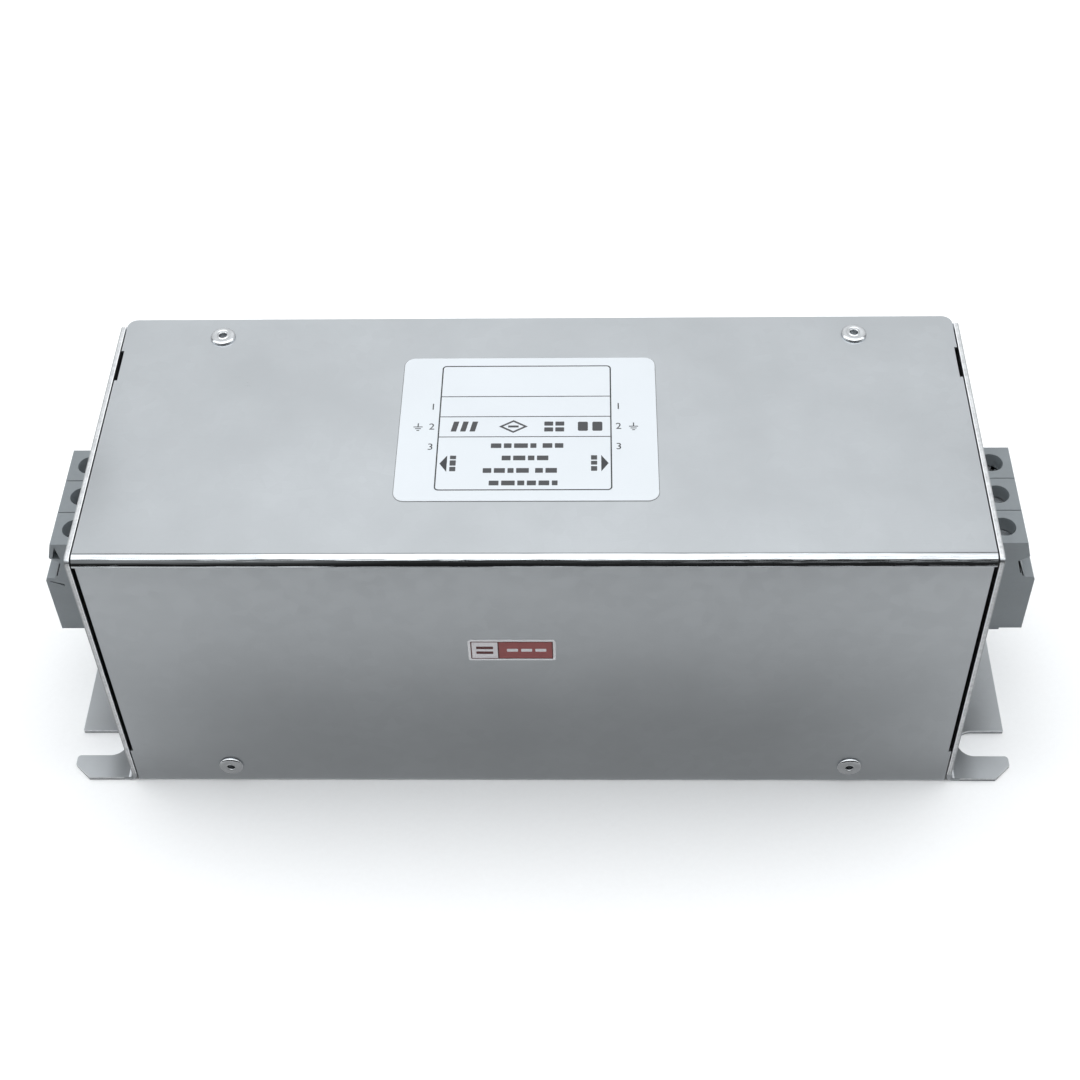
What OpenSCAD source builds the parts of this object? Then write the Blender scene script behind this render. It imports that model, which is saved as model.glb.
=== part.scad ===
// Three-phase line filter in a folded sheet-metal case with a screw
// terminal block at each end. X runs from the line end (-X) to the load
// end (+X), the front faces -Y and the mounting plane is Z = 0.

/* [Case] */
// Length of the case over its end plates
case_l = 220; // [210:1:260]
// Depth of the case, front to back
case_w = 85; // [84:1:100]
// Height of the case above the mounting plane
case_h = 90; // [88:1:110]
// Thickness of the sheet
sheet = 1.2; // [1:0.1:1.4]
// Outside radius of the bends
bend_r = 2.4; // [2:0.1:3]
// Gap between a cover edge and the end plate beside it
seam = 0.35; // [0.1:0.05:0.5]
// Height of the folded lips behind the cover
lip = 13; // [11:0.5:16]

/* [Mounting flanges] */
// How far each flange stands out from its end plate
flange_l = 16.3; // [14:0.1:20]
// Width of the open mounting slots
slot_w = 8.4; // [6.6:0.1:9]
// Distance from the end plate to the centre of a slot's round end
slot_u = 7.5; // [7:0.1:9]
// Distance between the two slots of one flange
slot_pitch = 62.2; // [58:0.1:68]
// Chamfer on the outer corners of a flange
flange_c = 4.3; // [2:0.1:5]

/* [Cover] */
// Length of the small notches in the top edges
notch_l = 11.1; // [8:0.1:14]
// Width of the notches and of the front slits
notch_w = 1.1; // [0.8:0.1:1.4]
// Centre of a top notch along Y
notch_y = 24.85; // [20:0.05:28]
// Lower end of a front slit
slit_z = 13.5; // [10:0.1:20]
// Distance of the rivets from the middle of the case
rivet_x = 82.4; // [60:0.1:95]
// Distance of the top rivets from the back of the case
rivet_back = 7; // [6:0.1:9]
// Height of the front rivets
rivet_z = 7; // [6:0.1:9]
// Diameter of a rivet head
rivet_d = 6.6; // [6:0.1:7]

/* [Labels] */
// Size of the rating plate along X
label_x = 64.2; // [40:0.1:90]
// Size of the rating plate along Y
label_y = 50.4; // [30:0.1:60]
// Size of the front badge along X
badge_x = 21.6; // [10:0.1:40]
// Height of the front badge
badge_z = 8; // [5:0.1:15]

/* [Terminals] */
// Distance between neighbouring poles
pitch = 11.25; // [11.2:0.05:12.5]
// Width of one pole housing
pole_w = 11.05; // [11:0.05:11.2]
// Top of the terminal block
block_top = 67; // [66.5:0.1:68]
// Underside of the terminal block
block_bot = 33.4; // [32:0.1:34]
// How far a terminal block stands out from its end plate
block_u = 17.3; // [17:0.1:18]
// Distance from the end plate to the screw axis
screw_u = 8; // [7.8:0.1:8.2]
// Diameter of a screwdriver hole
driver_d = 6.1; // [6:0.1:6.4]
// Diameter of a wire entry
entry_d = 7; // [6:0.1:7]
// Height of the wire entries
entry_z = 43.3; // [43:0.1:43.5]
// Diameter of the clamp screw
clamp_d = 5; // [4:0.1:5]

/* [Earth studs] */
// Diameter of an earth stud
stud_d = 6; // [5:1:6]
// Height of the earth studs
stud_z = 24; // [22:0.5:25]

/* [Choke] */
// Outside diameter of the ring core
core_od = 62; // [50:1:64]
// Inside diameter of the ring core
core_id = 36; // [32:1:38]
// Height of the ring core
core_h = 30; // [20:1:30]
// Thickness of the winding wire
wire = 3.2; // [2:0.1:3.4]
// Turns on each winding
turns = 7; // [4:1:7]

/* [Hidden] */
$fn = 64;

L = case_l / 2;            // outer face of an end plate
W = case_w / 2;            // front and back faces
bend_i = bend_r - sheet;   // inside radius of the bends
top_lip_z = case_h - sheet - 0.05;   // upper face of the lip under the cover
front_lip_y = -W + sheet + 0.05;     // front face of the lip behind the cover
slot_y = slot_pitch / 2;
rivet_r = rivet_d / 2;
rivet_hole = 1.65;
label_pos = [-1.7, 1.7];
badge_pos = [-5.6, 56.6];
label_t = 0.12;
shank_d = stud_d - 0.4;    // stud under its nut
nut_top = 6.2;             // free end of the stud starts here
tip_r = 1;                 // rounding at the tips of the flanges
back_r = 2;                         // rounding of the end plates' upper back corners

// pole housing, in its own frame: u outward from the end plate, z up
groove_z = block_top - 13;
pocket = 2.2;                        // depth of the latch pockets and slits
roof_z = block_top - 4.2;            // underside of the roof over the screw
head_top = roof_z - 0.3;
head_h = 2.6;
head_d = 6.6;
bar_w = 6.4;
bar_t = 2;
bar_z = entry_z + 4.1;               // underside of the current bar
bar_in = 14;                         // reach of the current bar into the case
chamber_u0 = 3.4;
chamber_u1 = 11.5;
chamber_w = 9.2;
chamber_z = 37.4;
cage_w = 8.8;
cage_wall = 0.8;
cage_u0 = 4.9;
cage_u1 = 11;
cage_z = 38;
cage_floor = 1.2;
cage_head = 2.2;
thread_gap = 0.15;
spigot_w = 8.6;
spigot_z0 = 41;
spigot_z1 = 58;
spigot_l = 4.2;
driver_slot = [20, -35, 75, 55, 10, -70];   // way each screw's slot points

// choke
core_r = core_od / 2;
core_ri = core_id / 2;
seat_t = 3.6;
core_z = sheet + seat_t + wire + 0.3;
wind_gap = 0.2;
wind_ro = core_r + wind_gap + wire;
wind_ri = core_ri - wind_gap - wire;
wind_z0 = core_z - wind_gap - wire;
wind_z1 = core_z + core_h + wind_gap + wire;
lead_w = 5;
lead_t = 2;
lead_z = bar_z + bar_t;

board_x = 60;
board_w = 72;
board_t = 1.6;
board_z = 10;
board_c = 74;
hole_off = [25, 31];
film_z = top_lip_z - sheet - 4.3;      // underside of the film under the top

// extrudes a shape drawn in X and Z along Y, from y0 to y1
module along_y(y0, y1) {
    translate([0, y1, 0]) rotate([90, 0, 0]) linear_extrude(y1 - y0) children();
}

// extrudes a shape drawn in Y and Z along X, from x0 to x1
module along_x(x0, x1) {
    translate([x0, 0, 0]) rotate([90, 0, 90]) linear_extrude(x1 - x0) children();
}

module rounded(x0, y0, x1, y1, r) {
    translate([x0 + r, y0]) square([x1 - x0 - 2 * r, y1 - y0]);
    translate([x0, y0 + r]) square([x1 - x0, y1 - y0 - 2 * r]);
    for (x = [x0 + r, x1 - r], y = [y0 + r, y1 - r])
        translate([x, y]) circle(r);
}

module box(x0, y0, z0, x1, y1, z1) {
    translate([x0, y0, z0]) cube([x1 - x0, y1 - y0, z1 - z0]);
}

// the line end is the load end turned half round
module at_line() { rotate([0, 0, 180]) children(); }

// ---- case ----

// bottom, back and the two lips: one band of sheet
module pan_band() {
    difference() {
        rounded(front_lip_y, 0, W, top_lip_z, bend_r);
        rounded(front_lip_y + sheet, sheet, W - sheet, top_lip_z - sheet, bend_i);
        translate([-W - 10, lip]) square([case_w - lip + 10, case_h]);
    }
}

// end plate and flange in X and Z, u = 0 on the outer face
module end_section() {
    difference() {
        union() {
            translate([-sheet, bend_r]) square([sheet, case_h - bend_r]);
            translate([bend_i, bend_r]) intersection() {
                circle(bend_r);
                translate([-bend_r, -bend_r]) square([bend_r, bend_r]);
            }
        }
        translate([bend_i, bend_r]) circle(bend_i);
    }
}

module end_plate() {
    translate([L, 0, 0]) difference() {
        union() {
            along_y(-W, W - bend_r) end_section();
            linear_extrude(sheet) difference() {
                polygon([[bend_i, -W], [flange_l - flange_c, -W],
                    [flange_l, -W + flange_c], [flange_l, W - flange_c],
                    [flange_l - flange_c, W], [bend_i, W]]);
                for (s = [-1, 1]) translate([slot_u, s * slot_y]) {
                    circle(slot_w / 2);
                    translate([0, -slot_w / 2]) square([20, slot_w]);
                }
                // rounded tips of the outer tongues
                for (s = [-1, 1]) translate([flange_l, s * (slot_y + slot_w / 2)])
                    difference() {
                        translate([-tip_r, s > 0 ? -0.5 : -tip_r])
                            square([tip_r + 1, tip_r + 0.5]);
                        translate([-tip_r, s * tip_r]) circle(tip_r);
                    }
            }
            // the corner bend to the back
            translate([-bend_r, W - bend_r, 0]) difference() {
                union() {
                    translate([0, 0, bend_r])
                        cylinder(r = bend_r, h = top_lip_z - 2 * bend_r);
                    translate([0, 0, bend_r]) intersection() {
                        cylinder(r = bend_r, h = case_h - bend_r);
                        box(0, -1, 0, bend_r, 0.9, case_h);
                    }
                }
                translate([0, 0, -1]) cylinder(r = bend_i, h = case_h + 2);
                box(-bend_r - 1, -bend_r - 1, -1, 0, bend_r + 1, case_h + 1);
                box(-1, -bend_r - 1, -1, bend_r + 1, 0, case_h + 1);
            }
        }
        // rounded top corner at the front
        translate([-sheet - 1, -W, case_h]) rotate([0, 90, 0]) difference() {
            translate([-0.01, -0.01, 0]) cube([2.01, 2.01, sheet + 2]);
            translate([2, 2, -1]) cylinder(r = 2, h = sheet + 4);
        }
        // rounded top corner at the back
        translate([-sheet - 1, W - bend_r + 0.9, case_h]) rotate([0, 90, 0])
            difference() {
                translate([-0.01, -back_r, 0])
                    cube([back_r + 0.01, back_r + 0.01, sheet + 2]);
                translate([back_r, -back_r, -1])
                    cylinder(r = back_r, h = sheet + 4);
            }
        // openings for the three poles
        for (i = [-1, 0, 1])
            box(-sheet - 1, i * pitch - spigot_w / 2 - 0.1, spigot_z0 - 0.1,
                1, i * pitch + spigot_w / 2 + 0.1, spigot_z1 + 0.1);
        // seat of the earth stud
        translate([-sheet - 1, 0, stud_z]) rotate([0, 90, 0])
            cylinder(d = stud_d + 0.2, h = sheet + 2);
    }
}

module chassis() {
    color("#c3c8cb") difference() {
        union() {
            along_x(-L + bend_r, L - bend_r) pan_band();
            end_plate();
            at_line() mirror([0, 1, 0]) end_plate();
        }
        for (s = [-1, 1]) {
            translate([s * rivet_x, W - rivet_back, top_lip_z - sheet - 1])
                cylinder(r = rivet_hole, h = sheet + 2);
            translate([s * rivet_x, front_lip_y - 1, rivet_z]) rotate([-90, 0, 0])
                cylinder(r = rivet_hole, h = sheet + 2);
        }
        // screw holes of the choke and the boards
        translate([0, 0, -1]) cylinder(d = 5.2, h = sheet + 2);
        for (s = [-1, 1], i = [-1, 1], j = [-1, 1])
            translate([s * board_c + i * hole_off[0], j * hole_off[1], -1])
                cylinder(d = 3.2, h = sheet + 2);
    }
}

module cover() {
    color("#c6cbce") difference() {
        along_x(-L + sheet + seam, L - sheet - seam) difference() {
            union() {
                translate([-W + bend_r, case_h - sheet])
                    square([case_w - bend_r, sheet]);
                translate([-W, 0.4]) square([sheet, case_h - bend_r - 0.4]);
                translate([-W + bend_r, case_h - bend_r]) intersection() {
                    circle(bend_r);
                    translate([-bend_r, 0]) square([bend_r, bend_r]);
                }
            }
            translate([-W + bend_r, case_h - bend_r]) circle(bend_i);
        }
        for (s = [0, 1]) mirror([s, 0, 0]) {
            // notch in the top edge and slit beside the front edge
            box(L - sheet - notch_w, notch_y - notch_l / 2, case_h - sheet - 1,
                L, notch_y + notch_l / 2, case_h + 1);
            box(L - sheet - notch_w, -W - 1, slit_z,
                L, -W + sheet + 1, case_h - bend_r - 0.1);
            // rounded back corner
            translate([L - sheet - seam - 2.6, W - 2.6, case_h - sheet - 1])
                difference() {
                    cube([2.7, 2.7, sheet + 2]);
                    translate([0, 0, -1]) cylinder(r = 2.6, h = sheet + 4);
                }
            translate([rivet_x, W - rivet_back, case_h - sheet - 1])
                cylinder(r = rivet_hole, h = sheet + 2);
            translate([rivet_x, -W - 1, rivet_z]) rotate([-90, 0, 0])
                cylinder(r = rivet_hole, h = sheet + 2);
        }
    }
}

// places a rivet with its head outward: two on the top and two on the front
module each_rivet() {
    for (s = [-1, 1]) {
        translate([s * rivet_x, W - rivet_back, case_h]) children();
        translate([s * rivet_x, -W, rivet_z]) rotate([90, 0, 0]) children();
    }
}

module cover_rivets() {
    grip = 2 * sheet + 0.05;
    color("#d4d8da") each_rivet() difference() {
        union() {
            rotate_extrude($fn = 96) polygon([
                [0, 0], [rivet_r, 0], [rivet_r, 0.38], [rivet_r - 0.18, 0.56],
                [rivet_r - 0.9, 0.78], [1.75, 0.9], [0, 0.9]]);
            translate([0, 0, -grip]) cylinder(r = rivet_hole - 0.02, h = grip + 0.1);
            translate([0, 0, -grip - 2.4]) cylinder(r = 2.3, h = 2.4);
        }
        translate([0, 0, -grip - 3]) cylinder(r = 0.95, h = grip + 5);
        translate([0, 0, 0.55]) cylinder(r1 = 0.95, r2 = 1.4, h = 0.4);
    }
}

module rivet_mandrels() {
    color("#8f9497") each_rivet() {
        translate([0, 0, -2 * sheet - 2.45]) cylinder(r = 0.93, h = 2 * sheet + 1.6);
        translate([0, 0, -2 * sheet - 3.4]) cylinder(r = 1.6, h = 0.95);
    }
}

module rating_label() {
    color("#eef0f3") translate([label_pos[0], label_pos[1], case_h])
        linear_extrude(label_t)
            rounded(-label_x / 2, -label_y / 2, label_x / 2, label_y / 2, 2.75);
}

module front_badge() {
    color("#eef0f3") translate([badge_pos[0], 0, badge_pos[1]])
        along_y(-W - label_t, -W)
            rounded(-badge_x / 2, -badge_z / 2, badge_x / 2, badge_z / 2, 0.8);
}

// ---- terminals ----

// one pole housing at the load end, on the line y = 0
module pole_housing() {
    difference() {
        union() {
            along_y(-pole_w / 2, pole_w / 2) polygon([
                [0, block_bot], [block_u, block_bot], [block_u, groove_z - 1],
                [block_u - 0.4, groove_z], [14.7, groove_z],
                [12.4, groove_z + 6.3], [14.5, groove_z + 7.6],
                [14.6, groove_z + 8], [13.3, block_top], [0, block_top]]);
            // spigot through the end plate, with a catch behind it
            box(-spigot_l, -spigot_w / 2, spigot_z0, 0.01, spigot_w / 2, spigot_z1);
            box(-sheet - 2, -2.5, spigot_z1 - 0.01, -sheet - 0.1, 2.5,
                spigot_z1 + 0.8);
            // foot rib under the B side
            box(9, -pole_w / 2 + 0.2, block_bot - 0.9,
                11.5, -pole_w / 2 + 1.6, block_bot + 0.01);
        }
        box(chamber_u0, -chamber_w / 2, chamber_z,
            chamber_u1, chamber_w / 2, roof_z);
        translate([screw_u, 0, roof_z - 1])
            cylinder(d = driver_d, h = block_top - roof_z + 2);
        translate([chamber_u1 - 1, 0, entry_z]) rotate([0, 90, 0])
            cylinder(d = entry_d, h = block_u - chamber_u1 + 2);
        // way for the current bar
        box(-spigot_l - 1, -bar_w / 2 - 0.05, bar_z - 0.05,
            chamber_u0 + 1, bar_w / 2 + 0.05, bar_z + bar_t + 0.05);
        // side A: three-cornered latch pocket and two slits
        along_y(pole_w / 2 - pocket, pole_w / 2 + 1) {
            polygon([[12.4, groove_z + 12], [11.75, groove_z + 7.4],
                [13.75, groove_z + 7.6]]);
            polygon([[12.1, groove_z + 5.7], [12.35, groove_z + 5.7],
                [14.1, groove_z + 0.9], [13.85, groove_z + 0.9]]);
            polygon([[block_u - 1, groove_z - 1.15], [12.8, groove_z - 2.4],
                [12.8, groove_z - 3.1], [block_u - 1, groove_z - 1.4]]);
        }
        // side B: two narrow slits along the groove
        along_y(-pole_w / 2 - 1, -pole_w / 2 + pocket) {
            polygon([[11.9, groove_z + 6.2], [12.15, groove_z + 6.2],
                [13.45, groove_z + 1.6], [13.2, groove_z + 1.6]]);
            polygon([[12.3, groove_z + 6.2], [12.3, groove_z + 5.5],
                [14.0, groove_z + 0.5], [14.25, groove_z + 0.5]]);
        }
    }
}

module pole_screw(slot_angle) {
    difference() {
        union() {
            translate([screw_u, 0, head_top - head_h])
                cylinder(d = head_d, h = head_h);
            translate([screw_u, 0, bar_z + bar_t])
                cylinder(d = clamp_d, h = head_top - bar_z - bar_t - 0.5);
        }
        translate([screw_u, 0, head_top]) rotate([0, 0, slot_angle])
            cube([head_d + 1, 1.1, 2.6], center = true);
    }
}

module pole_cage() {
    top0 = bar_z + bar_t + 0.1;
    difference() {
        box(cage_u0, -cage_w / 2, cage_z, cage_u1, cage_w / 2, top0 + cage_head);
        box(cage_u0 - 1, -cage_w / 2 + cage_wall, cage_z + cage_floor,
            cage_u1 + 1, cage_w / 2 - cage_wall, top0);
        translate([screw_u, 0, top0 - 1])
            cylinder(r = clamp_d / 2 + thread_gap, h = cage_head + 2);
    }
}

module pole_bar() {
    difference() {
        box(-bar_in, -bar_w / 2, bar_z, chamber_u1 - 0.1, bar_w / 2, bar_z + bar_t);
        translate([-bar_in + 3.5, 0, bar_z - 1]) cylinder(d = 3, h = bar_t + 2);
    }
}

// pole 1 is at the back, 2 in the middle and 3 at the front
module at_pole(end, i) {
    if (end == "load") translate([L, (2 - i) * pitch, 0]) children();
    else at_line() translate([L, (i - 2) * pitch, 0]) children();
}

module housing(end, i) { color("#82898c") at_pole(end, i) pole_housing(); }
module clamp_screw(end, i) {
    color("#d9dcdd") at_pole(end, i)
        pole_screw(driver_slot[(end == "load" ? 3 : 0) + i - 1]);
}
module clamp_cage(end, i) { color("#c9b98a") at_pole(end, i) pole_cage(); }
module current_bar(end, i) { color("#cfcfc8") at_pole(end, i) pole_bar(); }

// ---- earth studs ----

module each_stud() {
    for (s = [0, 180]) rotate([0, 0, s]) translate([L, 0, stud_z])
        rotate([0, 90, 0]) children();
}

module earth_studs() {
    color("#c9cccd") each_stud() {
        translate([0, 0, -sheet - 0.05]) cylinder(d = shank_d, h = sheet + 7);
        translate([0, 0, nut_top]) cylinder(d = stud_d, h = 14 - nut_top);
        translate([0, 0, -sheet - 1.55]) cylinder(d = 9, h = 1.5);
    }
}

module earth_washers() {
    color("#cfd2d3") each_stud() difference() {
        cylinder(d = 12, h = 1.2);
        translate([0, 0, -1]) cylinder(d = stud_d + 0.4, h = 4);
    }
}

module earth_nuts() {
    color("#d2d4d5") each_stud() translate([0, 0, 1.2]) difference() {
        rotate([0, 0, 30]) cylinder(d = 10 / cos(30), h = 5, $fn = 6);
        translate([0, 0, -1]) cylinder(d = shank_d + 0.04, h = 8);
    }
}

// ---- choke ----

module choke_core() {
    color("#2e5d49") translate([0, 0, core_z]) difference() {
        cylinder(r = core_r, h = core_h, $fn = 96);
        translate([0, 0, -1]) cylinder(r = core_ri, h = core_h + 2, $fn = 96);
    }
}

// winding k covers 100 degrees of the ring; its turns are joined at the rim
module winding(k) {
    mid = k == 1 ? 90 : (k == 2 ? 210 : 330);
    step = 100 / turns;
    color("#b0662f") {
        for (t = [0 : turns - 1])
            rotate([0, 0, mid + (t - (turns - 1) / 2) * step]) difference() {
                box(wind_ri, -wire / 2, wind_z0, wind_ro, wire / 2, wind_z1);
                box(core_ri - wind_gap, -wire, core_z - wind_gap,
                    core_r + wind_gap, wire, core_z + core_h + wind_gap);
            }
        rotate([0, 0, mid - 50 + step / 2])
            translate([0, 0, (wind_z0 + wind_z1) / 2 - 1])
                rotate_extrude(angle = 100 - step)
                    translate([core_r + wind_gap + 0.4, 0])
                        square([wire - 1, 2]);
    }
}

// three arms that keep the windings apart inside the ring
module choke_divider() {
    color("#e6e0cf") translate([0, 0, core_z]) linear_extrude(core_h)
        difference() {
            union() {
                circle(6);
                for (a = [30, 150, 270]) rotate(a)
                    translate([5, -1]) square([core_ri - 5.1, 2]);
            }
            circle(2.7);
        }
}

module choke_seat() {
    color("#e6e0cf") difference() {
        union() {
            translate([0, 0, sheet]) cylinder(r = core_r + 1, h = seat_t - 0.1);
            translate([0, 0, sheet]) cylinder(r = 5.5, h = core_z - sheet);
        }
        translate([0, 0, sheet - 1]) cylinder(d = 5.4, h = 20);
    }
}

module choke_screw() {
    color("#c9cccd") {
        cylinder(d = 5, h = core_z + core_h + 6);
        translate([0, 0, core_z + core_h]) cylinder(d = 9, h = 3.5);
    }
}

// ---- boards ----

module board_at(end) {
    if (end == "load") translate([board_c, 0, 0]) children();
    else at_line() translate([board_c, 0, 0]) children();
}

module board(end) {
    color("#2f6b46") board_at(end) difference() {
        box(-board_x / 2, -board_w / 2, board_z,
            board_x / 2, board_w / 2, board_z + board_t);
        for (i = [-1, 1], j = [-1, 1])
            translate([i * hole_off[0], j * hole_off[1], board_z - 1])
                cylinder(d = 3.2, h = board_t + 2);
    }
}

module board_spacers() {
    color("#d8d4c6") for (s = [-1, 1], i = [-1, 1], j = [-1, 1])
        translate([s * board_c + i * hole_off[0], j * hole_off[1], sheet])
            difference() {
                cylinder(d = 6, h = board_z - sheet);
                translate([0, 0, -1]) cylinder(d = 3.2, h = board_z + 2);
            }
}

module board_screws() {
    color("#c9cccd") for (s = [-1, 1], i = [-1, 1], j = [-1, 1])
        translate([s * board_c + i * hole_off[0], j * hole_off[1], 0]) {
            translate([0, 0, 0.1]) cylinder(d = 3, h = board_z + board_t);
            translate([0, 0, board_z + board_t]) cylinder(d = 5.5, h = 2.2);
        }
}

module x_capacitors(end) {
    color("#d9b53c") board_at(end) for (j = [-1, 0, 1])
        box(-17, j * 17 - 7, board_z + board_t, 14, j * 17 + 7,
            board_z + board_t + 24);
}

module y_capacitors(end) {
    color("#3f6fa8") board_at(end) for (j = [-1, 0, 1])
        box(17, j * 15 - 5, board_z + board_t, 23, j * 15 + 5,
            board_z + board_t + 12);
}

module discharge_resistors() {
    color("#b99a72") for (s = [0, 180], j = [-1, 0, 1]) rotate([0, 0, s])
        translate([board_c - 22, j * 16 - 5, board_z + board_t + 1.75])
            rotate([-90, 0, 0]) cylinder(d = 3.5, h = 10);
}

// ---- leads between the terminals and the windings ----

module strap(x0, y0, x1, y1) {
    box(min(x0, x1) - lead_w / 2, min(y0, y1) - lead_w / 2, lead_z,
        max(x0, x1) + lead_w / 2, max(y0, y1) + lead_w / 2, lead_z + lead_t);
}

module leg(x, y) {
    box(x - lead_w / 2, y - lead_w / 2, wind_z1,
        x + lead_w / 2, y + lead_w / 2, lead_z + lead_t);
}

lead_x = L - bar_in + 2.5;

module line_lead_1() {
    color("#b8693a") {
        strap(-lead_x, pitch, -64, pitch);
        strap(-64, pitch, -64, 23);
        strap(-64, 23, -21, 23);
        leg(-21, 23);
    }
}
module line_lead_2() {
    color("#b8693a") { strap(-lead_x, 0, -30, 0); leg(-30, 0); }
}
module line_lead_3() {
    color("#b8693a") {
        strap(-lead_x, -pitch, -76, -pitch);
        strap(-76, -pitch, -76, -34);
        strap(-76, -34, 9, -34);
        strap(9, -34, 9, -30);
        leg(9, -30);
    }
}
module load_lead_1() { rotate([0, 0, 180]) line_lead_3(); }
module load_lead_2() {
    color("#b8693a") {
        strap(lead_x, 0, -11, 0);
        strap(-11, 0, -11, -27);
        leg(-11, -27);
    }
}
module load_lead_3() { rotate([0, 0, 180]) line_lead_1(); }

// insulating film between the live parts and the cover
module insulating_liner() {
    color("#e9e4d4") along_x(-104, 104) {
        translate([-W + 4, film_z]) square([case_w - 8, 0.5]);
        translate([-W + 3.5, lip + 2]) square([0.5, film_z + 0.5 - lip - 2]);
    }
}

chassis();
cover();
cover_rivets();
rivet_mandrels();
rating_label();
front_badge();
housing("line", 1);  // terminal_housing_line_1
housing("line", 2);  // terminal_housing_line_2
housing("line", 3);  // terminal_housing_line_3
housing("load", 1);  // terminal_housing_load_1
housing("load", 2);  // terminal_housing_load_2
housing("load", 3);  // terminal_housing_load_3
clamp_screw("line", 1);  // clamp_screw_line_1
clamp_screw("line", 2);  // clamp_screw_line_2
clamp_screw("line", 3);  // clamp_screw_line_3
clamp_screw("load", 1);  // clamp_screw_load_1
clamp_screw("load", 2);  // clamp_screw_load_2
clamp_screw("load", 3);  // clamp_screw_load_3
clamp_cage("line", 1);  // clamp_cage_line_1
clamp_cage("line", 2);  // clamp_cage_line_2
clamp_cage("line", 3);  // clamp_cage_line_3
clamp_cage("load", 1);  // clamp_cage_load_1
clamp_cage("load", 2);  // clamp_cage_load_2
clamp_cage("load", 3);  // clamp_cage_load_3
current_bar("line", 1);  // current_bar_line_1
current_bar("line", 2);  // current_bar_line_2
current_bar("line", 3);  // current_bar_line_3
current_bar("load", 1);  // current_bar_load_1
current_bar("load", 2);  // current_bar_load_2
current_bar("load", 3);  // current_bar_load_3
earth_studs();
earth_nuts();
earth_washers();
choke_core();
winding(1);  // winding_1
winding(2);  // winding_2
winding(3);  // winding_3
choke_divider();
choke_seat();
choke_screw();
board("line");  // board_line
board("load");  // board_load
x_capacitors("line");  // x_capacitors_line
x_capacitors("load");  // x_capacitors_load
y_capacitors("line");  // y_capacitors_line
y_capacitors("load");  // y_capacitors_load
discharge_resistors();
board_spacers();
board_screws();
line_lead_1();
line_lead_2();
line_lead_3();
load_lead_1();
load_lead_2();
load_lead_3();
insulating_liner();
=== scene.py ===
import math

import bmesh
import bpy
from mathutils import Matrix, Vector


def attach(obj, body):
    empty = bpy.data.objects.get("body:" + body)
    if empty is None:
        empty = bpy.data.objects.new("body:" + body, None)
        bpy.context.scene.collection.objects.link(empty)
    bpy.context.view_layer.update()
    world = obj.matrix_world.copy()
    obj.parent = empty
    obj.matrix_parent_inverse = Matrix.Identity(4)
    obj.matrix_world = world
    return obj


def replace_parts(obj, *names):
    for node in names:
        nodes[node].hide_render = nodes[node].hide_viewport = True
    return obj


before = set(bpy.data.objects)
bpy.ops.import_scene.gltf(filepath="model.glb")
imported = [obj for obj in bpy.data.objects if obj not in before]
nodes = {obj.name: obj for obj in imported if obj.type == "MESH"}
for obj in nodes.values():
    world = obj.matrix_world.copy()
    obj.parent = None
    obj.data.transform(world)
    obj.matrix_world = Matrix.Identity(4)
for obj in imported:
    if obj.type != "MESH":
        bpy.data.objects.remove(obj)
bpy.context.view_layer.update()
MM = 0.001

L, W, H = 110.0, 42.5, 90.0  # end plate faces, front face and top face, in mm
PITCH, SCREW_X = 11.25, 118.0
LABEL_Z, BADGE_Y = 90.12, -42.62

# ---------------------------------------------------------------- camera

PITCH_A, YAW, ROLL = 0.8416, -0.0403, -0.032
fwd = Vector((math.sin(YAW) * math.cos(PITCH_A), math.cos(YAW) * math.cos(PITCH_A), -math.sin(PITCH_A)))
right = fwd.cross(Vector((0, 0, 1))).normalized()
up = right.cross(fwd)
right2 = math.cos(ROLL) * right + math.sin(ROLL) * up
up2 = -math.sin(ROLL) * right + math.cos(ROLL) * up
cam_data = bpy.data.cameras.new("camera")
cam_data.sensor_width = 36
cam_data.lens = 61.17
cam_data.clip_start, cam_data.clip_end = 0.02, 40
cam = bpy.data.objects.new("camera", cam_data)
bpy.context.scene.collection.objects.link(cam)
m = Matrix((right2, up2, -fwd)).transposed().to_4x4()
m.translation = Vector((13.54, -323.55, 412.08)) * MM
cam.matrix_world = m
bpy.context.scene.camera = cam


# ---------------------------------------------------------------- node trees

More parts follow.
